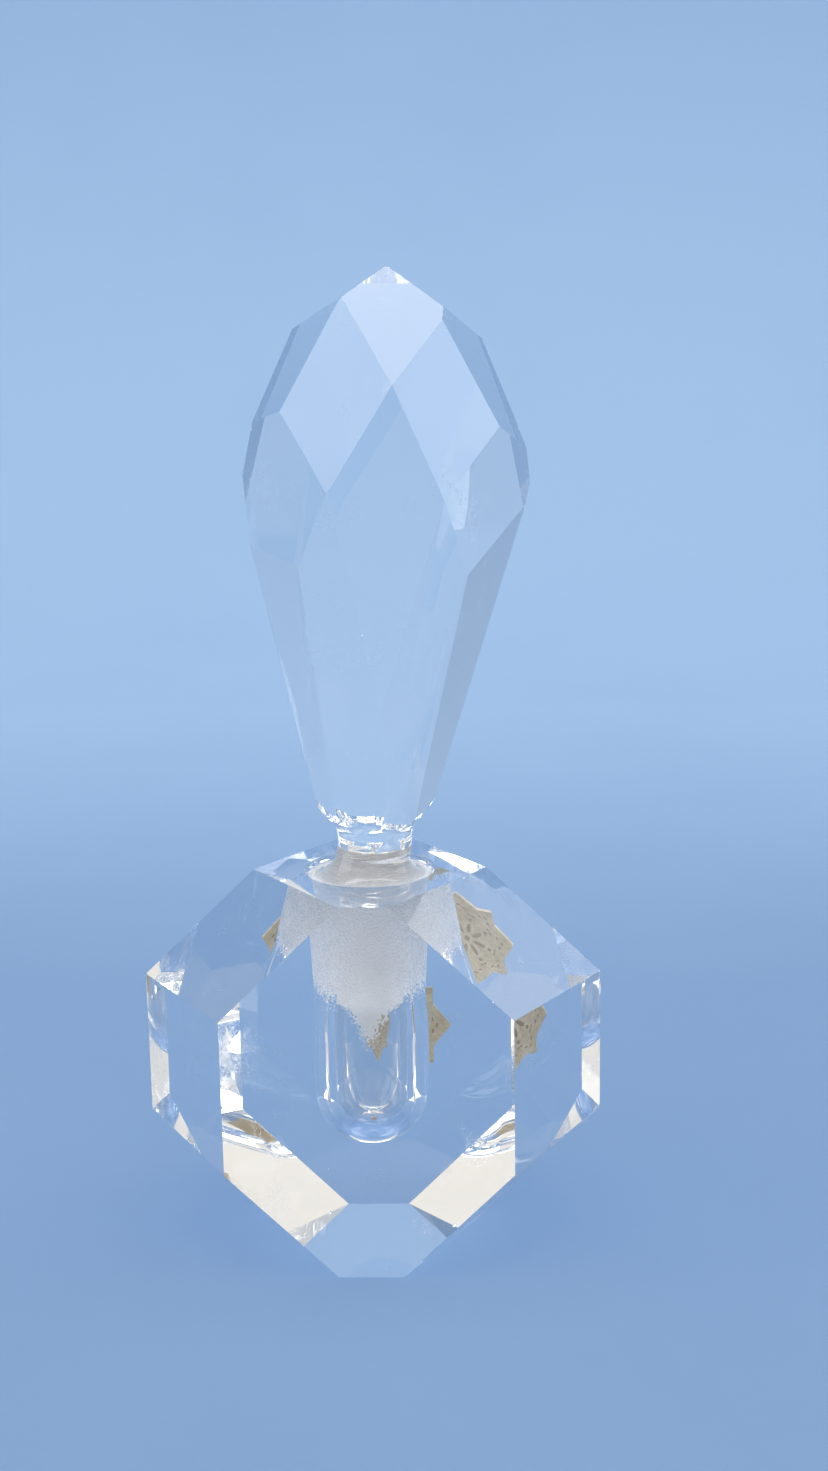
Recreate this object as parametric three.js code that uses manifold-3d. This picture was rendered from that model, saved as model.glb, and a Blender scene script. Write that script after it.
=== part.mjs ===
// Cut-crystal perfume bottle with a faceted drop stopper.
// Millimetres, +Z up, +X to the viewer's right, -Y towards the viewer.
// The origin is the middle of the flat foot that the bottle stands on.
import * as THREE from 'three';
import { mergeVertices } from 'three/addons/utils/BufferGeometryUtils.js';
import Module from 'manifold-3d';

const wasm = await Module();
wasm.setup();

// ---- driving dimensions -------------------------------------------------

// Body: an upright octagonal block, bevelled towards the front and the back.
const BODY_TOP = 59;
const GIRDLE_HALF_WIDTH = 36;
const FACE_HALF_WIDTH = 22;
const HALF_DEPTH = 20.4;
const UPPER_SIDE_BEARING = 46; // degrees above horizontal that the upper sides face
const LOWER_SIDE_BEARING = -45.5;
// A side's reach is how far it stands from the foot's centre, square to itself.
const UPPER_REACH = { girdle: 55.1, face: 45 };
const LOWER_REACH = { girdle: 11.7, face: 3.5 };

// Drilled inside: ground neck above a polished, round-bottomed cavity.
const MOUTH_RADIUS = 9.5;
const MOUTH_CHAMFER = 0.8;
const NECK_TAPER = 0.05; // radius lost per millimetre of depth
const NECK_LENGTH = 17.5;
const CAVITY_RADIUS = 9;
const CAVITY_FLOOR = 16.6;
const CAVITY_SHOULDER = 7; // height over which the cavity swells below the neck

// Stopper: ground plug with a flared neck, bonded to the cut finial at the waist.
const SEAT_GAP = 0.3; // clear space between the plug and the neck
const PLUG_LENGTH = 19;
const PLUG_TIP_RADIUS = 6.6;
const PLUG_TIP_BEVEL = 1.6;
const WAIST_RADIUS = 5.8;
const WAIST_HEIGHT = 63;
const BOND_GAP = 0.4;
const NECK_SWEEP = 4; // radius of the curve by which the neck widens into the drop
const NECK_SWEEP_ANGLE = 52;

// The finial was bonded a little to the right of the plug, and its drop leans that way.
const FINIAL_OFFSET = 0.9;
const FOOT_HEIGHT = 67.6;
const DROP_TOP = 150.4;
const DROP_LEAN = 2.4; // degrees
const DROP_BLANK_RADIUS = 30;

// Rows of ground facets. Bearings are in degrees: 0 faces the viewer, 90 the right.
// Tilt is how far a facet faces up. Reach is its distance from the axis at MIDDLE,
// a height above the drop's foot. The back is one broad flat table, and the facets
// that run round to it form its bevelled rim.
const MIDDLE = 52;
const TURN = 5; // the whole pattern stands this far turned to the right
const pair = (bearing) => [bearing, bearing + 180];
const FACET_ROWS = [
  { name: 'crown', bearings: pair(0), tilt: 50.5, reach: 38 },
  { name: 'side crown', bearings: pair(90), tilt: 55, reach: 44.4 },
  { name: 'left shoulder', bearings: [-50], tilt: 18.2, reach: 17.6 },
  { name: 'shoulder', bearings: [46, 134, -134], tilt: 13.4, reach: 17.7 },
  { name: 'left side shoulder', bearings: [-65], tilt: 23, reach: 19.8 },
  { name: 'side shoulder', bearings: [63.5], tilt: 22.5, reach: 20.9 },
  { name: 'rim shoulder', bearings: [116.5, -115], tilt: 22.5, reach: 22.4 },
  { name: 'side belt', bearings: pair(90), tilt: 7.5, reach: 21.9 },
  { name: 'long diamond', bearings: [0], tilt: -9.4, reach: 17.7 },
  { name: 'left short diamond', bearings: [-60], tilt: 4.6, reach: 16.1 },
  { name: 'short diamond', bearings: [53.5], tilt: 2, reach: 16.9 },
  { name: 'rim diamond', bearings: [126.5], tilt: 2, reach: 19.4 },
  { name: 'left rim diamond', bearings: [-126.5], tilt: 2, reach: 21.3 },
  { name: 'taper', bearings: [24, -24], tilt: -14.2, reach: 19.6 },
  { name: 'side taper', bearings: [62, -62], tilt: -13.4, reach: 19.7 },
  { name: 'rim taper', bearings: [100], tilt: -14.9, reach: 22.6 },
  { name: 'left rim taper', bearings: [-110], tilt: -13.8, reach: 21 },
  { name: 'back table', bearings: [176], tilt: -1, reach: 8.6 },
];

// Label: an eight-pointed star of thin foil stuck on the back face.
const LABEL_SQUARE = 12.8;
const LABEL_POINT = 2.9; // how far each side point stands out of the square
const LABEL_POINT_BASE = 7.2;
const LABEL_THICKNESS = 0.15;
const LABEL_GAP = 0.1;
const LABEL_CENTRE = { x: 3, z: 31 };

const ROUND_SIDES = 64;
const ARC_STEPS = 10;
const BLANK = 400; // side of the blocks that are cut away

const radians = THREE.MathUtils.degToRad;

// ---- solids -------------------------------------------------------------

function toSolid(geometry) {
  const bare = geometry.index ? geometry.toNonIndexed() : geometry.clone();
  bare.deleteAttribute('normal');
  bare.deleteAttribute('uv');
  const merged = mergeVertices(bare, 1e-4);
  return new wasm.Manifold(new wasm.Mesh({
    numProp: 3,
    vertProperties: new Float32Array(merged.attributes.position.array),
    triVerts: new Uint32Array(merged.index.array),
  }));
}

function toMesh(name, solid, look) {
  const { vertProperties, triVerts } = solid.getMesh();
  const geometry = new THREE.BufferGeometry();
  geometry.setAttribute('position', new THREE.BufferAttribute(vertProperties, 3));
  geometry.setIndex(new THREE.BufferAttribute(triVerts, 1));
  const mesh = new THREE.Mesh(geometry, new THREE.MeshStandardMaterial(look));
  mesh.name = name;
  return mesh;
}

// The plane of a flat facet: its outward normal and its distance from the origin.
function facet(x, y, z, reach) {
  return new THREE.Plane(new THREE.Vector3(x, y, z), -reach);
}

// Grinds a facet: takes away everything on the outer side of its plane.
function grind(solid, plane) {
  const block = new THREE.BoxGeometry(BLANK, BLANK, BLANK);
  const turn = new THREE.Quaternion();
  block.applyQuaternion(turn.setFromUnitVectors(new THREE.Vector3(0, 0, 1), plane.normal));
  const middle = plane.normal.clone().multiplyScalar(BLANK / 2 - plane.constant);
  block.translate(middle.x, middle.y, middle.z);
  return solid.subtract(toSolid(block));
}

// Turned solid from (radius, height) points that start and end on the axis.
function turned(points) {
  const profile = points.map(([radius, height]) => new THREE.Vector2(radius, height));
  return toSolid(new THREE.LatheGeometry(profile, ROUND_SIDES).rotateX(Math.PI / 2));
}

// Points on an arc about (radius, height), from one angle to another in degrees.
function arc(radius, height, size, from, to, steps = ARC_STEPS) {
  return Array.from({ length: steps + 1 }, (_, i) => {
    const angle = radians(from + ((to - from) * i) / steps);
    return [radius + size * Math.cos(angle), height + size * Math.sin(angle)];
  });
}

// ---- bottle body --------------------------------------------------------

// The three sides on the viewer's right; each is repeated on the left.
const BODY_SIDES = [
  { bearing: UPPER_SIDE_BEARING, girdle: UPPER_REACH.girdle, face: UPPER_REACH.face },
  { bearing: 0, girdle: GIRDLE_HALF_WIDTH, face: FACE_HALF_WIDTH },
  { bearing: LOWER_SIDE_BEARING, girdle: LOWER_REACH.girdle, face: LOWER_REACH.face },
];

function boreCutter() {
  const neckEnd = BODY_TOP - NECK_LENGTH;
  const neckEndRadius = MOUTH_RADIUS - NECK_TAPER * NECK_LENGTH;
  const cavityTop = neckEnd - CAVITY_SHOULDER;
  const shoulder = Array.from({ length: 7 }, (_, i) => {
    const t = i / 6;
    const swell = (1 - Math.cos(Math.PI * t)) / 2;
    return [
      CAVITY_RADIUS + (neckEndRadius - CAVITY_RADIUS) * swell,
      cavityTop + CAVITY_SHOULDER * t,
    ];
  });
  const floor = arc(0, CAVITY_FLOOR + CAVITY_RADIUS, CAVITY_RADIUS, -90, 0, 12);
  floor[0][0] = 0;
  return turned([
    ...floor,
    ...shoulder,
    [MOUTH_RADIUS - NECK_TAPER * MOUTH_CHAMFER, BODY_TOP - MOUTH_CHAMFER],
    [MOUTH_RADIUS + MOUTH_CHAMFER, BODY_TOP],
    [MOUTH_RADIUS + MOUTH_CHAMFER, BODY_TOP + 5],
    [0, BODY_TOP + 5],
  ]);
}

function bottleBody() {
  const blank = new THREE.BoxGeometry(3 * GIRDLE_HALF_WIDTH, 2 * HALF_DEPTH, BODY_TOP);
  let block = toSolid(blank.translate(0, 0, BODY_TOP / 2));
  for (const side of BODY_SIDES) {
    const bevel = Math.atan2(side.girdle - side.face, HALF_DEPTH);
    const bearing = radians(side.bearing);
    for (const leftRight of [-1, 1]) {
      for (const frontBack of [-1, 1]) {
        block = grind(block, facet(
          leftRight * Math.cos(bearing) * Math.cos(bevel),
          frontBack * Math.sin(bevel),
          Math.sin(bearing) * Math.cos(bevel),
          side.girdle * Math.cos(bevel),
        ));
      }
    }
  }
  return block.subtract(boreCutter());
}

// ---- stopper ------------------------------------------------------------

// Turned plug, from its bevelled tip up through the seat and the concave flare.
function stopperPlug() {
  const seatRadius = MOUTH_RADIUS - SEAT_GAP;
  const seatTop = BODY_TOP - MOUTH_CHAMFER;
  const tip = seatTop - PLUG_LENGTH;
  const bondFace = WAIST_HEIGHT - BOND_GAP / 2;
  const flare = seatRadius - WAIST_RADIUS;
  return turned([
    [0, tip],
    [PLUG_TIP_RADIUS, tip],
    [seatRadius - NECK_TAPER * (PLUG_LENGTH - PLUG_TIP_BEVEL), tip + PLUG_TIP_BEVEL],
    ...arc(seatRadius, seatTop + flare, flare, 270, 180),
    [WAIST_RADIUS, bondFace],
    [0, bondFace],
  ]);
}

// The finial before its facets are ground: a round neck that flares into a wide drop.
function finialBlank() {
  const bondFace = WAIST_HEIGHT + BOND_GAP / 2;
  const sweepEnd = 180 - NECK_SWEEP_ANGLE;
  const sweepHeight = NECK_SWEEP * Math.sin(radians(NECK_SWEEP_ANGLE));
  const neck = arc(
    WAIST_RADIUS + NECK_SWEEP, FOOT_HEIGHT - sweepHeight, NECK_SWEEP, 180, sweepEnd,
  );
  const spread = DROP_BLANK_RADIUS - neck.at(-1)[0];
  return turned([
    [0, bondFace],
    [WAIST_RADIUS, bondFace],
    ...neck,
    [DROP_BLANK_RADIUS, FOOT_HEIGHT + spread],
    [DROP_BLANK_RADIUS, DROP_TOP],
    [0, DROP_TOP],
  ]);
}

function stopperFinial() {
  const place = new THREE.Matrix4().makeRotationY(radians(DROP_LEAN));
  place.setPosition(0, 0, FOOT_HEIGHT);
  const waist = turned([
    [0, WAIST_HEIGHT + BOND_GAP / 2],
    [WAIST_RADIUS, WAIST_HEIGHT + BOND_GAP / 2],
    [WAIST_RADIUS, FOOT_HEIGHT - 2],
    [0, FOOT_HEIGHT - 2],
  ]);
  let drop = finialBlank();
  for (const { bearings, tilt, reach } of FACET_ROWS) {
    const up = Math.sin(radians(tilt));
    const out = Math.cos(radians(tilt));
    for (const degrees of bearings) {
      const bearing = radians(degrees + TURN);
      const plane = facet(
        Math.sin(bearing) * out,
        -Math.cos(bearing) * out,
        up,
        reach * out + MIDDLE * up,
      );
      drop = grind(drop, plane.applyMatrix4(place));
    }
  }
  return drop.add(waist);
}

// ---- label --------------------------------------------------------------

function starLabel() {
  const half = LABEL_SQUARE / 2;
  const base = LABEL_POINT_BASE / 2;
  const side = [[half, -half], [half, -base], [half + LABEL_POINT, 0], [half, base]];
  const outline = [];
  for (let quarter = 0; quarter < 4; quarter += 1) {
    const turn = new THREE.Vector2();
    for (const [x, y] of side) {
      turn.set(x, y).rotateAround(new THREE.Vector2(), (quarter * Math.PI) / 2);
      outline.push(turn.clone());
    }
  }
  const foil = new THREE.ExtrudeGeometry(new THREE.Shape(outline), {
    depth: LABEL_THICKNESS,
    bevelEnabled: false,
  });
  return toSolid(foil.rotateX(Math.PI / 2).translate(0, LABEL_THICKNESS, 0));
}

// ---- assembly -----------------------------------------------------------

const CLEAR_GLASS = { color: 0xdfe8f2, roughness: 0.03, metalness: 0 };
const GROUND_GLASS = { color: 0xd6d0cc, roughness: 0.5, metalness: 0 };
const GOLD_FOIL = { color: 0xcdb48c, roughness: 0.4, metalness: 0.6 };

const bottle = new THREE.Group();
bottle.add(toMesh('bottle_body', bottleBody(), CLEAR_GLASS));

const label = toMesh('label', starLabel(), GOLD_FOIL);
label.position.set(LABEL_CENTRE.x, HALF_DEPTH + LABEL_GAP, LABEL_CENTRE.z);
bottle.add(label);

const stopper = new THREE.Group();
stopper.add(toMesh('stopper_plug', stopperPlug(), GROUND_GLASS));
const finial = toMesh('stopper_finial', stopperFinial(), CLEAR_GLASS);
finial.position.x = FINIAL_OFFSET;
stopper.add(finial);
bottle.add(stopper);

export default bottle;
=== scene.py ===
import math
import random

import bmesh
import bpy
from mathutils import Matrix, Vector, noise


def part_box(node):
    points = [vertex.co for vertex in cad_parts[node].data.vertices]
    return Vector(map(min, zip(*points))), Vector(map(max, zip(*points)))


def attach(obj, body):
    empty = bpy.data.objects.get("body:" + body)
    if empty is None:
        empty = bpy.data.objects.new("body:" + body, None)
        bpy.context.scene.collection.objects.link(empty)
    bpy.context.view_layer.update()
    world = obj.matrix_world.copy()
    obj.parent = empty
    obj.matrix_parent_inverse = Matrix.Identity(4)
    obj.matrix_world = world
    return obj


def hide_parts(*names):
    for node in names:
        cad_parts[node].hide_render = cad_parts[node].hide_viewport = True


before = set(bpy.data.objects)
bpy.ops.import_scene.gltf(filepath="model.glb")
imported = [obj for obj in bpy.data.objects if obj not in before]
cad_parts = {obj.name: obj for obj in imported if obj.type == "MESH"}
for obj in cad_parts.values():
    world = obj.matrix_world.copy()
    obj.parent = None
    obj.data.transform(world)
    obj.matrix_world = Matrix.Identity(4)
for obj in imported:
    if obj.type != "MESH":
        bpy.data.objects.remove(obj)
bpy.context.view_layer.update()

MM = 0.001
rng = random.Random(11)


# ---- places and sizes, in millimetres ---------------------------------------

def box_mm(node):
    low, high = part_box(node)
    return Vector(low) / MM, Vector(high) / MM


body_low, body_high = box_mm("bottle_body")
plug_low, plug_high = box_mm("stopper_plug")
finial_low, finial_high = box_mm("stopper_finial")
label_low, label_high = box_mm("label")

# Block, ground neck and cavity.
TOP = body_high.z
BACK = body_high.y
MOUTH = 9.5
CHAMFER = 0.8
TAPER = 0.05
NECK_LENGTH = 17.5
CAVITY_RADIUS = 9.0
CAVITY_FLOOR = 16.6
CAVITY_SHOULDER = 7.0
BODY_EDGE = 0.16

# Plug.
SEAT = plug_high.x
SEAT_TOP = TOP - CHAMFER
TIP_RADIUS = 6.6
TIP_BEVEL = 1.6
WAIST = 5.8

# The film of cement between plug and finial.
BOND = (plug_high.z + finial_low.z) / 2
BOND_FILM = 0.015

# Finial: its round neck is swept out into the drop, a little right of the plug below it.
NECK_SHIFT = 0.9
SWEEP = 4.0
SWEEP_ANGLE = 52.0
FOOT = 67.6
BLANK_RADIUS = 30
FINIAL_EDGE = 0.12

# Star label: a square on its side and a row of points, held by the foil's box.
STAR_HALF = 6.4
STAR_BASE = 3.6
FOIL_SINK = 0.02
PRINT_SINK = 0.035


# ---- mesh helpers, in millimetres -------------------------------------------

def new_object(name, bm):
    mesh = bpy.data.meshes.new(name)
    bm.to_mesh(mesh)
    bm.free()
    obj = bpy.data.objects.new(name, mesh)
    bpy.context.scene.collection.objects.link(obj)
    return obj


def lathe(name, points, sides=192, bend=None):
    """Turned solid from (radius, height) points that start and end on the axis."""
    bm = bmesh.new()
    rings = []
    for radius, height in points:
        offset = bend(height) if bend else 0.0
        if radius < 1e-6:
            rings.append([bm.verts.new((offset, 0, height))])
            continue
        rings.append([
            bm.verts.new((
                offset + radius * math.cos(2 * math.pi * i / sides),
                radius * math.sin(2 * math.pi * i / sides),
                height,
            ))
            for i in range(sides)
        ])
    for lower, upper in zip(rings, rings[1:]):
        for i in range(sides):
            j = (i + 1) % sides
            if len(lower) == 1:
                bm.faces.new((lower[0], upper[j], upper[i]))
            elif len(upper) == 1:
                bm.faces.new((lower[i], lower[j], upper[0]))
            else:
                bm.faces.new((lower[i], lower[j], upper[j], upper[i]))
    bmesh.ops.recalc_face_normals(bm, faces=bm.faces)
    return new_object(name, bm)


def arc(radius, height, size, start, end, steps=20):
    """Points on an arc about (radius, height), between two angles in degrees."""
    points = []
    for i in range(steps + 1):
        angle = math.radians(start + (end - start) * i / steps)
        points.append((radius + size * math.cos(angle), height + size * math.sin(angle)))
    return points


def facet_planes(node, smallest):
    """The large flat faces of a CAD node, as (normal, point) pairs in millimetres."""
    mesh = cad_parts[node].data
    found = []
    for polygon in sorted(mesh.polygons, key=lambda p: -p.area):
        normal = polygon.normal.copy()
        point = Vector(polygon.center) / MM
        area = polygon.area / MM / MM
        for entry in found:
            if normal.angle(entry[0]) < 0.006 and abs((point - entry[1]).dot(normal)) < 0.02:
                entry[2] += area
                break
        else:
            found.append([normal, point, area])
    return [(normal, point) for normal, point, area in found if area > smallest]


def cut_block(planes, reach):
    """A convex block: a large cube cut by every plane."""
    bm = bmesh.new()
    bmesh.ops.create_cube(bm, size=2 * reach)
    for normal, point in planes:
        cut = bmesh.ops.bisect_plane(
            bm,
            geom=bm.verts[:] + bm.edges[:] + bm.faces[:],
            dist=1e-5,
            plane_co=point,
            plane_no=normal,
            clear_outer=True,
        )
        edges = [e for e in cut["geom_cut"] if isinstance(e, bmesh.types.BMEdge)]
        bmesh.ops.holes_fill(bm, edges=edges, sides=0)
    bmesh.ops.recalc_face_normals(bm, faces=bm.faces)
    return bm


def edge_ends(bm):
    return [(e.verts[0].co.copy(), e.verts[1].co.copy()) for e in bm.edges]


def ease_edges(bm, width, angle=4.0):
    """Take the sharpness off every edge between two facets."""
    sharp = [
        e for e in bm.edges
        if len(e.link_faces) == 2 and e.calc_face_angle() > math.radians(angle)
    ]
    bmesh.ops.bevel(
        bm, geom=sharp, offset=width, segments=2, profile=0.5,
        affect="EDGES", clamp_overlap=True,
    )


def combine(obj, other, how):
    """Boolean of two solids, applied to the first; the second is used up."""
    modifier = obj.modifiers.new("cut", "BOOLEAN")
    modifier.operation = how
    modifier.solver = "EXACT"
    modifier.object = other
    graph = bpy.context.evaluated_depsgraph_get()
    mesh = bpy.data.meshes.new_from_object(obj.evaluated_get(graph))
    obj.modifiers.clear()
    obj.data = mesh
    bpy.data.objects.remove(other)


def chip(place, size):
    """An irregular little lump whose shape is cut out of an edge."""
    bm = bmesh.new()
    bmesh.ops.create_icosphere(bm, subdivisions=2, radius=size)
    stretch = [rng.uniform(0.6, 1.5) for _ in range(3)]
    for vert in bm.verts:
        bump = 1 + 0.35 * noise.noise(vert.co / size * 1.3 + place)
        vert.co = Vector([c * bump * s for c, s in zip(vert.co, stretch)]) + place
    return new_object("chip_cutter", bm)


def wear(obj, edges, share, sizes, lowest):
    """Chip some of the edges once each, above a height."""
    for start, end in edges:
        if rng.random() < share:
            at = start.lerp(end, rng.uniform(0.1, 0.9))
            if at.z > lowest:
                combine(obj, chip(at, rng.uniform(*sizes)), "DIFFERENCE")


def finish_piece(obj, materials, pick=None, smooth=None):
    """Scale to metres; pick and smooth choose each face's material and shading."""
    obj.data.transform(Matrix.Scale(MM, 4))
    obj.data.materials.clear()
    for material in materials:
        obj.data.materials.append(material)
    for polygon in obj.data.polygons:
        place = Vector(polygon.center) / MM
        polygon.material_index = int(pick(place, polygon)) if pick else 0
        polygon.use_smooth = bool(smooth(place, polygon)) if smooth else False


# ---- materials --------------------------------------------------------------

GLASS_IOR = 1.54
# Shadow rays lose a little in the glass.
SHADE = (0.80, 0.84, 0.89, 1)


class Tree:
    """Short ways to build a node tree."""

    def __init__(self, name):
        self.material = bpy.data.materials.new(name)
        self.material.use_nodes = True
        self.nodes = self.material.node_tree.nodes
        self.links = self.material.node_tree.links
        self.nodes.clear()
        self.output = self.nodes.new("ShaderNodeOutputMaterial")
        self.coords = self.nodes.new("ShaderNodeTexCoord").outputs["Object"]

    def set(self, socket, value):
        if isinstance(value, bpy.types.NodeSocket):
            self.links.new(value, socket)
        else:
            socket.default_value = value

    def node(self, kind, inputs=(), out=0, **settings):
        node = self.nodes.new(kind)
        for key, value in settings.items():
            setattr(node, key, value)
        for key, value in dict(inputs).items():
            self.set(node.inputs[key], value)
        return node.outputs[out]

    def surface(self, shader):
        self.links.new(shader, self.output.inputs["Surface"])
        return self.material

    def xyz(self):
        split = self.node("ShaderNodeSeparateXYZ", {"Vector": self.coords}).node
        return split.outputs[0], split.outputs[1], split.outputs[2]

    def math(self, how, a, b=0.0, clamp=False):
        return self.node(
            "ShaderNodeMath", {0: a, 1: b}, operation=how, use_clamp=clamp
        )

    def length(self, x, y):
        squares = self.math("ADD", self.math("MULTIPLY", x, x), self.math("MULTIPLY", y, y))
        return self.math("SQRT", squares)

    def noise(self, scale, detail=3.0, rough=0.55, coords=None):
        return self.node("ShaderNodeTexNoise", {
            "Vector": coords or self.coords,
            "Scale": scale, "Detail": detail, "Roughness": rough,
        })

    def ramp(self, value, low, high, to_low=0.0, to_high=1.0):
        """Map low to to_low and high to to_high, and stop at both."""
        return self.node("ShaderNodeMapRange", {
            "Value": value, "From Min": low, "From Max": high,
            "To Min": to_low, "To Max": to_high,
        })

    def blend(self, share, first, second):
        return self.node(
            "ShaderNodeMix", {0: share, 6: first, 7: second}, out=2, data_type="RGBA"
        )

    def bump(self, height, strength, distance, normal=None):
        inputs = {"Height": height, "Strength": strength, "Distance": distance}
        if normal is not None:
            inputs["Normal"] = normal
        return self.node("ShaderNodeBump", inputs)


def fine_scratches(t, scale, width):
    """Thin straight marks: narrow bands of a stretched noise, broken up by another."""
    lines = None
    for tilt in (0.5, -0.9, 2.1):
        turned = t.node("ShaderNodeMapping", {
            "Vector": t.coords,
            "Rotation": (tilt, 0.4 * tilt, 1.3 * tilt),
            "Scale": (1.0, 0.04, 1.0),
        })
        field = t.noise(scale, 1.0, 0.4, coords=turned)
        near = t.math("ABSOLUTE", t.math("SUBTRACT", field, 0.5))
        line = t.ramp(near, width, 0.0)
        lines = line if lines is None else t.math("MAXIMUM", lines, line)
    broken = t.ramp(t.noise(scale * 0.11, 2.0), 0.56, 0.68)
    return t.math("MULTIPLY", lines, broken)


def let_lamps_through(t, shader):
    """Cut glass would throw bright pools of light: shadow rays go mostly through it."""
    path = t.node("ShaderNodeLightPath", out="Is Shadow Ray")
    clear = t.node("ShaderNodeBsdfTransparent", {"Color": SHADE})
    return t.surface(t.node("ShaderNodeMixShader", {0: path, 1: shader, 2: clear}))


def clear_crystal():
    """Polished glass with hairline scratches, dust, faint smears and faint waves."""
    t = Tree("clear_crystal")
    scratches = fine_scratches(t, 900.0, 0.006)
    cells = t.node("ShaderNodeTexVoronoi", {"Vector": t.coords, "Scale": 260.0})
    rare = t.ramp(t.noise(160.0, 1.0), 0.58, 0.64)
    dust = t.math("MULTIPLY", t.ramp(cells, 0.045, 0.03), rare)
    marks = t.math("MAXIMUM", scratches, dust)
    smear = t.ramp(t.noise(70.0, 4.0), 0.5, 0.75, 0.0, 0.012)
    waves = t.bump(t.noise(45.0, 2.0), 0.25, 0.0002)
    shader = t.node("ShaderNodeBsdfPrincipled", {
        "Base Color": (0.985, 0.992, 1.0, 1),
        "Roughness": t.math("ADD", t.math("MULTIPLY", marks, 0.45), smear, clamp=True),
        "IOR": GLASS_IOR,
        "Transmission Weight": 1.0,
        "Normal": t.bump(marks, 0.3, 0.00002, waves),
    })
    return let_lamps_through(t, shader)


def dried_perfume(t, colour, through):
    """A small amber spot at the bottom of the cavity."""
    away = t.node("ShaderNodeVectorMath", {
        0: t.coords, 1: (0.0004, -0.0012, CAVITY_FLOOR * MM),
    }, out=1, operation="DISTANCE")
    away = t.math("ADD", away, t.ramp(t.noise(900.0, 3.0), 0.3, 0.7, -0.0004, 0.0004))
    spot = t.ramp(away, 0.0012, 0.0007)
    colour = t.blend(spot, colour, (0.45, 0.20, 0.06, 1))
    through = t.math("SUBTRACT", through, t.math("MULTIPLY", spot, 0.6), clamp=True)
    return colour, through


def ground_crystal(name, low_edge, dip, high_edge, dregs=False):
    """Ground between a ragged low edge, which dips at the front, and a clean high one."""
    t = Tree(name)
    x, y, z = t.xyz()
    away = t.math("MAXIMUM", t.length(x, y), 0.0005)
    facing = t.math("DIVIDE", t.math("MULTIPLY", y, -1.0), away)
    facing = t.math("MAXIMUM", facing, 0.0)
    broad = t.math("MULTIPLY", t.math("POWER", facing, 2.0), 0.25 * dip)
    narrow = t.math("MULTIPLY", t.math("POWER", facing, 24.0), 0.85 * dip)
    ragged = t.ramp(t.noise(420.0, 5.0, 0.7), 0.3, 0.7, -0.0011, 0.0011)
    grains = t.ramp(t.noise(2100.0, 3.0, 0.6), 0.3, 0.7, -0.0022, 0.0022)
    line = t.math("SUBTRACT", low_edge, t.math("ADD", broad, narrow))
    above = t.math("ADD", t.math("SUBTRACT", z, line), t.math("ADD", ragged, grains))
    below = t.math("SUBTRACT", high_edge, z)
    mask = t.math(
        "MULTIPLY", t.ramp(above, -0.0003, 0.0005), t.ramp(below, -0.00005, 0.00015)
    )

    pitted = t.noise(2600.0, 3.0, 0.6)
    clouds = t.ramp(t.noise(240.0, 4.0), 0.35, 0.65, 0.30, 0.48)
    clouds = t.math("ADD", clouds, t.ramp(pitted, 0.42, 0.60, 0.0, 0.25))
    through = t.math("SUBTRACT", 1.0, t.math("MULTIPLY", mask, clouds))
    coarse = t.bump(pitted, t.math("MULTIPLY", mask, 0.6), 0.00015)
    grit = t.noise(5200.0, 4.0, 0.7)
    colour = (0.90, 0.885, 0.87, 1)
    if dregs:
        colour, through = dried_perfume(t, colour, through)
    shader = t.node("ShaderNodeBsdfPrincipled", {
        "Base Color": colour,
        "Roughness": t.ramp(mask, 0.0, 1.0, 0.004, 0.5),
        "IOR": GLASS_IOR,
        "Transmission Weight": through,
        "Normal": t.bump(grit, t.math("MULTIPLY", mask, 0.7), 0.00008, coarse),
    })
    return let_lamps_through(t, shader)


def gold_foil():
    """Pale foil, creased and flaky."""
    t = Tree("gold_foil")
    flakes = t.noise(1500.0, 4.0, 0.6)
    creases = t.noise(240.0, 3.0)
    mean = t.math("ADD", t.math("MULTIPLY", flakes, 0.5), t.math("MULTIPLY", creases, 0.5))
    tone = t.ramp(mean, 0.35, 0.65)
    creased = t.bump(creases, 0.35, 0.0003)
    return t.surface(t.node("ShaderNodeBsdfPrincipled", {
        "Base Color": t.blend(tone, (0.52, 0.40, 0.23, 1), (0.80, 0.68, 0.48, 1)),
        "Metallic": 0.35,
        "Roughness": t.ramp(flakes, 0.3, 0.7, 0.32, 0.55),
        "Normal": t.bump(flakes, 0.25, 0.00004, creased),
    }))


def brown_ink():
    t = Tree("brown_ink")
    tone = t.ramp(t.noise(900.0, 3.0), 0.3, 0.7)
    return t.surface(t.node("ShaderNodeBsdfPrincipled", {
        "Base Color": t.blend(tone, (0.28, 0.19, 0.10, 1), (0.42, 0.30, 0.17, 1)),
        "Roughness": t.ramp(tone, 0, 1, 0.4, 0.6),
    }))


def clear_bond():
    """Clear cement between the two glass faces: it shows only as a wavy line near its rim."""
    t = Tree("clear_bond")
    x, y, _ = t.xyz()
    away = t.length(t.math("SUBTRACT", x, NECK_SHIFT * MM), y)
    wavy = t.math("ADD", away, t.ramp(t.noise(500.0, 3.0), 0.3, 0.7, -0.0005, 0.0005))
    near = t.math("ABSOLUTE", t.math("SUBTRACT", wavy, 0.0051))
    ring = t.ramp(near, 0.0005, 0.0002, 0.04, 0.85)
    clear = t.node("ShaderNodeBsdfTransparent", {"Color": (1, 0.99, 0.96, 1)})
    haze = t.node("ShaderNodeBsdfPrincipled", {
        "Base Color": (0.86, 0.80, 0.68, 1), "Roughness": 0.3,
    })
    return t.surface(t.node("ShaderNodeMixShader", {0: ring, 1: clear, 2: haze}))


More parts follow.
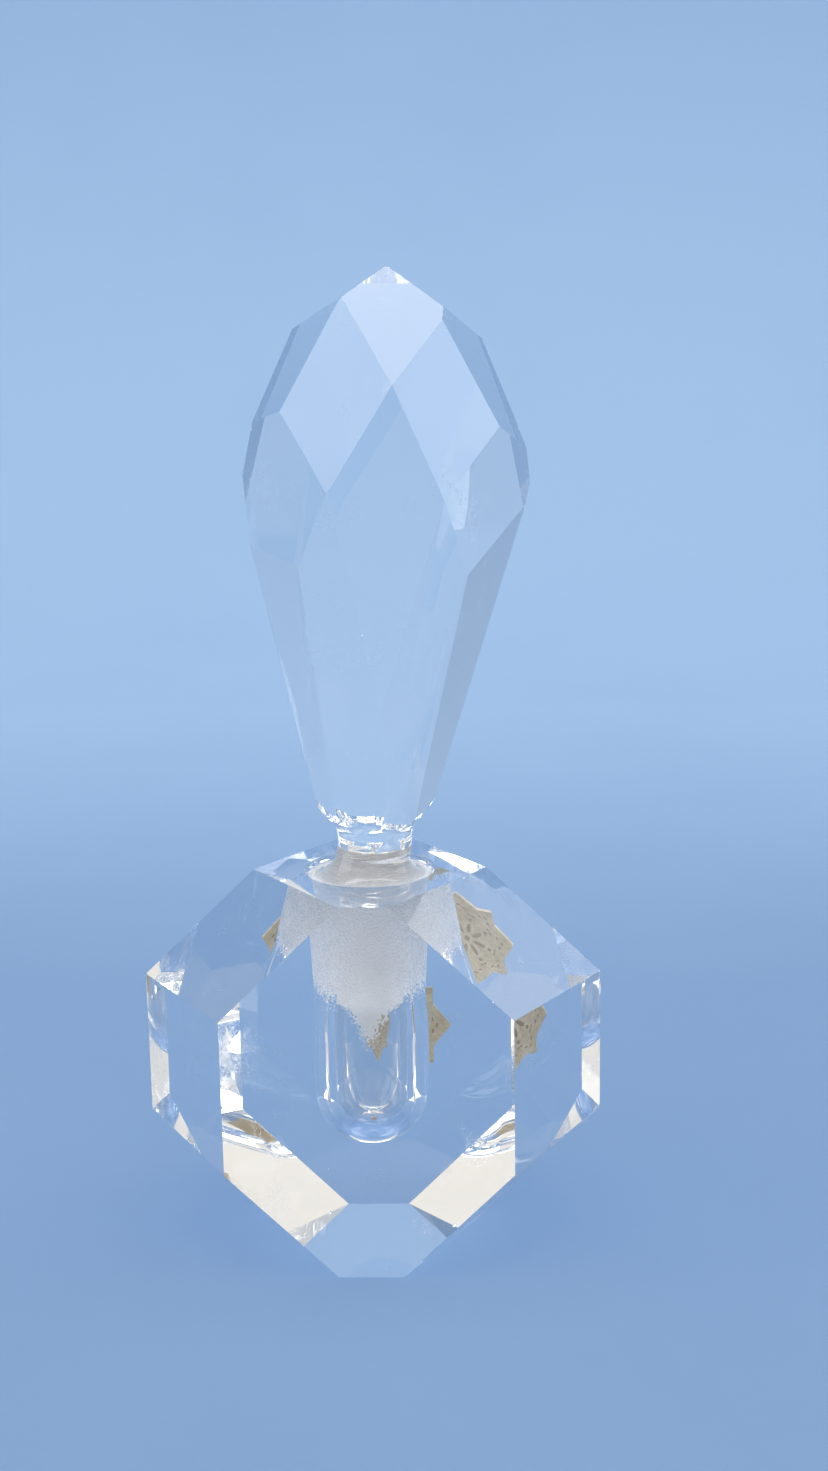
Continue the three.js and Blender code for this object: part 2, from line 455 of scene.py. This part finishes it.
CLEAR = clear_crystal()
BORE = ground_crystal("ground_neck", 0.0428, 0.0066, 0.0583, dregs=True)
PLUG = ground_crystal("ground_plug", 0.0300, 0.0, 0.0583)
BONDED = clear_bond()
FOIL = gold_foil()
INK = brown_ink()


# ---- bottle body ------------------------------------------------------------

def bore_profile(steps=24):
    """Round-bottomed cavity, curved shoulder, tapered neck and the mouth's chamfer."""
    neck_radius = MOUTH - TAPER * NECK_LENGTH
    cavity_top = TOP - NECK_LENGTH - CAVITY_SHOULDER
    floor = arc(0, CAVITY_FLOOR + CAVITY_RADIUS, CAVITY_RADIUS, -90, 0, 40)
    floor[0] = (0, CAVITY_FLOOR)
    shoulder = []
    for i in range(1, steps + 1):
        swell = (1 - math.cos(math.pi * i / steps)) / 2
        shoulder.append((
            CAVITY_RADIUS + (neck_radius - CAVITY_RADIUS) * swell,
            cavity_top + CAVITY_SHOULDER * i / steps,
        ))
    return [
        *floor,
        (CAVITY_RADIUS, cavity_top),
        *shoulder,
        (MOUTH - TAPER * CHAMFER, TOP - CHAMFER),
        (MOUTH + 0.35 * CHAMFER, TOP - 0.4 * CHAMFER),
        (MOUTH + CHAMFER, TOP),
        (MOUTH + CHAMFER, TOP + 5),
        (0, TOP + 5),
    ]


def make_body():
    bm = cut_block(facet_planes("bottle_body", 60.0), 80.0)
    edges = edge_ends(bm)
    ease_edges(bm, BODY_EDGE)
    block = new_object("crystal_body", bm)
    combine(block, lathe("bore_cutter", bore_profile()), "DIFFERENCE")
    return block, edges


def in_bore(place, polygon):
    inside = math.hypot(place.x, place.y) < MOUTH + CHAMFER
    return inside and CAVITY_FLOOR - 0.1 < place.z < TOP - 0.001


body, body_edges = make_body()
wear(body, body_edges, share=0.5, sizes=(0.12, 0.3), lowest=-1)
finish_piece(body, [CLEAR, BORE], pick=in_bore, smooth=in_bore)
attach(body, "bottle")
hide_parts("bottle_body")


# ---- label ------------------------------------------------------------------

label_centre = Vector(((label_low.x + label_high.x) / 2, 0, (label_low.z + label_high.z) / 2))


def make_label():
    """Eight-pointed star of foil on the back face."""
    point = (label_high.x - label_low.x) / 2 - STAR_HALF
    corner = [
        (STAR_HALF, -STAR_HALF), (STAR_HALF, -STAR_BASE), (STAR_HALF + point, 0), (STAR_HALF, STAR_BASE),
    ]
    outline = []
    for quarter in range(4):
        turn = Matrix.Rotation(-quarter * math.pi / 2, 3, "Y")
        outline += [turn @ Vector((x, 0, z)) for x, z in corner]
    bm = bmesh.new()
    face = bm.faces.new([bm.verts.new(label_centre + v) for v in outline])
    out = bmesh.ops.extrude_face_region(bm, geom=[face])
    for v in out["geom"]:
        if isinstance(v, bmesh.types.BMVert):
            v.co.y += label_high.y - BACK + FOIL_SINK
    for v in bm.verts:
        v.co.y += BACK - FOIL_SINK
    bmesh.ops.recalc_face_normals(bm, faces=bm.faces)
    return new_object("foil_label", bm)


label = make_label()
finish_piece(label, [FOIL])
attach(label, "bottle")
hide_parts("label")


def ink_marks():
    """A plain ornament printed on both sides of the foil: a border and a rosette."""
    bm = bmesh.new()

    def blot(points):
        near = [bm.verts.new(label_centre + Vector((x, BACK - PRINT_SINK, z))) for x, z in points]
        far = [bm.verts.new(label_centre + Vector((x, label_high.y, z))) for x, z in points]
        bm.faces.new(near)
        bm.faces.new(far[::-1])
        for i in range(len(points)):
            j = (i + 1) % len(points)
            bm.faces.new((near[i], far[i], far[j], near[j]))

    def oval(reach, bearing, length, width, turn, sides=14):
        """A slightly uneven oval, placed by its distance and bearing from the centre."""
        x, z = reach * math.cos(bearing), reach * math.sin(bearing)
        ring = []
        for i in range(sides):
            angle = 2 * math.pi * i / sides
            u, v = length / 2 * math.cos(angle), width / 2 * math.sin(angle)
            grow = 1 + rng.uniform(-0.12, 0.12)
            ring.append((
                x + grow * (u * math.cos(turn) - v * math.sin(turn)),
                z + grow * (u * math.sin(turn) + v * math.cos(turn)),
            ))
        blot(ring)

    border = 40
    for i in range(border):
        angle = 2 * math.pi * i / border
        oval(6.1 + 0.9 * math.cos(8 * angle), angle, 0.75, 0.32, angle + math.pi / 2)
    petals = 8
    for i in range(petals):
        angle = 2 * math.pi * (i + 0.5) / petals
        oval(2.4, angle, 2.2, 0.8, angle)
        oval(4.4, angle, 0.7, 0.7, 0)
    oval(0, 0, 1.1, 1.1, 0)
    bmesh.ops.recalc_face_normals(bm, faces=bm.faces)
    return new_object("label_print", bm)


marks = ink_marks()
finish_piece(marks, [INK])
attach(marks, "bottle")


# ---- stopper ----------------------------------------------------------------

def stem_shift(height):
    """How far right of the axis the stem stands at a height."""
    t = min(max((height - TOP) / (BOND - TOP), 0.0), 1.0)
    return NECK_SHIFT * t * t * (3 - 2 * t)


def at_bond(place, polygon):
    return abs(place.z - BOND) < 2 * BOND_FILM and abs(polygon.normal.z) > 0.9


def make_plug():
    """Tapered plug with a worn tip, and its flare up to the bond."""
    low = plug_low.z
    shank = SEAT - TAPER * (SEAT_TOP - low - TIP_BEVEL)
    flare = SEAT - WAIST
    points = [
        (0, low + 0.25),
        (3.0, low + 0.1),
        (TIP_RADIUS - 0.3, low),
        (TIP_RADIUS, low + 0.12),
        (shank - 0.1, low + TIP_BEVEL - 0.1),
        (shank, low + TIP_BEVEL + 0.2),
        *arc(SEAT, SEAT_TOP + flare, flare, 270, 180, 36),
        (WAIST, BOND - BOND_FILM),
        (0, BOND - BOND_FILM),
    ]
    return lathe("crystal_plug", points, bend=stem_shift)


def round_plug(place, polygon):
    return plug_low.z + 0.3 < place.z < BOND - 0.1 or abs(polygon.normal.z) < 0.9


plug = make_plug()
finish_piece(plug, [PLUG, BONDED], pick=at_bond, smooth=round_plug)
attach(plug, "stopper")
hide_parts("stopper_plug")


def make_finial():
    """The drop: the CAD's facets round a turned blank whose neck sweeps out of the waist."""
    planes = [
        (normal, point) for normal, point in facet_planes("stopper_finial", 25.0)
        if point.z > FOOT + 2
    ]
    planes.append((Vector((0, 0, 1)), Vector((0, 0, finial_high.z))))
    planes.append((Vector((0, 0, -1)), Vector((0, 0, BOND - 1))))
    bm = cut_block(planes, 200.0)
    edges = edge_ends(bm)
    ease_edges(bm, FINIAL_EDGE)
    drop = new_object("crystal_finial", bm)
    sweep_low = FOOT - SWEEP * math.sin(math.radians(SWEEP_ANGLE))
    sweep = arc(WAIST + SWEEP, sweep_low, SWEEP, 180, 180 - SWEEP_ANGLE, 30)
    blank = lathe("finial_blank", [
        (0, BOND + BOND_FILM),
        (WAIST, BOND + BOND_FILM),
        *sweep,
        (BLANK_RADIUS, FOOT + BLANK_RADIUS - sweep[-1][0]),
        (BLANK_RADIUS, finial_high.z + 1),
        (0, finial_high.z + 1),
    ], bend=lambda z: NECK_SHIFT)
    combine(drop, blank, "INTERSECT")
    return drop, edges


def round_neck(place, polygon):
    return place.z < FOOT and abs(polygon.normal.z) < 0.98


finial, finial_edges = make_finial()
wear(finial, finial_edges, share=0.35, sizes=(0.1, 0.22), lowest=FOOT + 6)
finish_piece(finial, [CLEAR, BONDED], pick=at_bond, smooth=round_neck)
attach(finial, "stopper")
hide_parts("stopper_finial")


# ---- floor, light and camera ------------------------------------------------

# The sheet of paper, in millimetres.
SHEET_HALF = 1500
BEND_START = 420
BEND_RADIUS = 320
WALL_TOP = 1200
FLOOR_GAP = 0.15

# The camera: millimetres, degrees, and focal length over picture height.
CAMERA_PLACE = (16.67, -293.61, 145.96)
CAMERA_DOWN, CAMERA_TURN, CAMERA_ROLL = 12.624, 1.838, -0.988
CAMERA_REACH = 1.3297
SENSOR = 24.0

# The lamps point here, in metres.
AIM = (0, 0, 0.08)


def backdrop():
    """One pale sheet: the floor, swept up into a wall well beyond any view of the bottle. Its colour has
    painted light: it is painted lighter towards the back, standing in for a brighter-lit backdrop.
    """
    floor_z = body_low.z - FLOOR_GAP
    bend = arc(BEND_START, floor_z + BEND_RADIUS, BEND_RADIUS, -90, 0, 24)
    profile = [(-SHEET_HALF, floor_z), *bend, (bend[-1][0], WALL_TOP)]
    bm = bmesh.new()
    rows = [[bm.verts.new((x, y, z)) for x in (-SHEET_HALF, SHEET_HALF)] for y, z in profile]
    for lower, upper in zip(rows, rows[1:]):
        bm.faces.new((lower[0], lower[1], upper[1], upper[0]))
    sheet = new_object("floor", bm)
    t = Tree("paper_with_painted_light")
    depth = t.xyz()[1]
    clouds = t.ramp(t.noise(9.0, 4.0), 0.3, 0.7, -0.06, 0.06)
    # Painted light: the colour goes lighter from 0.11 to 0.40 m back, standing in for a brighter-lit
    # backdrop; the noise added on top is random tone.
    far = t.math("ADD", t.ramp(depth, 0.11, 0.40), clouds, clamp=True)
    paper = t.surface(t.node("ShaderNodeBsdfPrincipled", {
        "Base Color": t.blend(far, (0.14, 0.24, 0.415, 1), (0.25, 0.38, 0.58, 1)),
        "Roughness": 0.9,
        "Normal": t.bump(t.noise(1500.0, 3.0), 0.2, 0.0001),
    }))
    finish_piece(sheet, [paper], smooth=lambda place, polygon: True)


def studio():
    """Soft light: bright above and in front of the bottle, dimmer and bluer elsewhere."""
    world = bpy.data.worlds.new("studio")
    bpy.context.scene.world = world
    world.use_nodes = True
    nodes, links = world.node_tree.nodes, world.node_tree.links
    way = nodes.new("ShaderNodeTexCoord")
    dot = nodes.new("ShaderNodeVectorMath")
    dot.operation = "DOT_PRODUCT"
    dot.inputs[1].default_value = (0, -0.6, 0.8)
    links.new(way.outputs["Generated"], dot.inputs[0])
    rise = nodes.new("ShaderNodeMapRange")
    rise.interpolation_type = "SMOOTHSTEP"
    rise.inputs["From Min"].default_value = 0.15
    rise.inputs["From Max"].default_value = 0.65
    links.new(dot.outputs["Value"], rise.inputs["Value"])
    tone = nodes.new("ShaderNodeMix")
    tone.data_type = "RGBA"
    tone.inputs[6].default_value = (0.17, 0.25, 0.38, 1)
    tone.inputs[7].default_value = (0.92, 0.88, 0.80, 1)
    links.new(rise.outputs["Result"], tone.inputs[0])
    links.new(tone.outputs[2], nodes["Background"].inputs["Color"])


def lamp(name, place, size, power, colour):
    data = bpy.data.lights.new(name, "AREA")
    data.shape = "RECTANGLE"
    data.size, data.size_y = size
    data.energy = power
    data.color = colour
    obj = bpy.data.objects.new(name, data)
    bpy.context.scene.collection.objects.link(obj)
    obj.location = Vector(place)
    obj.rotation_euler = (Vector(AIM) - Vector(place)).to_track_quat("-Z", "Y").to_euler()


def camera():
    """Stands in front, a little above and to the right, level to about a degree."""
    down, turn, roll = (math.radians(a) for a in (CAMERA_DOWN, CAMERA_TURN, CAMERA_ROLL))
    level = Vector((-math.sin(turn), math.cos(turn), 0))
    forward = math.cos(down) * level - Vector((0, 0, math.sin(down)))
    right = Vector((math.cos(turn), math.sin(turn), 0))
    up = right.cross(forward)
    rolled_right = math.cos(roll) * right + math.sin(roll) * up
    rolled_up = -math.sin(roll) * right + math.cos(roll) * up
    data = bpy.data.cameras.new("camera")
    data.sensor_fit = "VERTICAL"
    data.sensor_height = SENSOR
    data.lens = SENSOR * CAMERA_REACH
    data.clip_start = 0.01
    obj = bpy.data.objects.new("camera", data)
    bpy.context.scene.collection.objects.link(obj)
    matrix = Matrix((rolled_right, rolled_up, -forward)).transposed().to_4x4()
    matrix.translation = Vector(CAMERA_PLACE) * MM
    obj.matrix_world = matrix
    bpy.context.scene.camera = obj


backdrop()
studio()
lamp("overhead", (0, 0.05, 1.0), (0.9, 0.7), 8.0, (1, 0.98, 0.95))
lamp("left", (-0.95, -0.05, 0.35), (0.75, 0.8), 3.5, (1, 0.97, 0.95))
lamp("right", (0.87, 0.16, 0.28), (0.52, 0.6), 2.0, (0.95, 0.97, 1))
# Light crosses the cut glass many times before it leaves.
bpy.context.scene.cycles.max_bounces = 24
bpy.context.scene.cycles.transmission_bounces = 24
bpy.context.scene.cycles.glossy_bounces = 24
bpy.context.scene.view_settings.view_transform = "Standard"
camera()
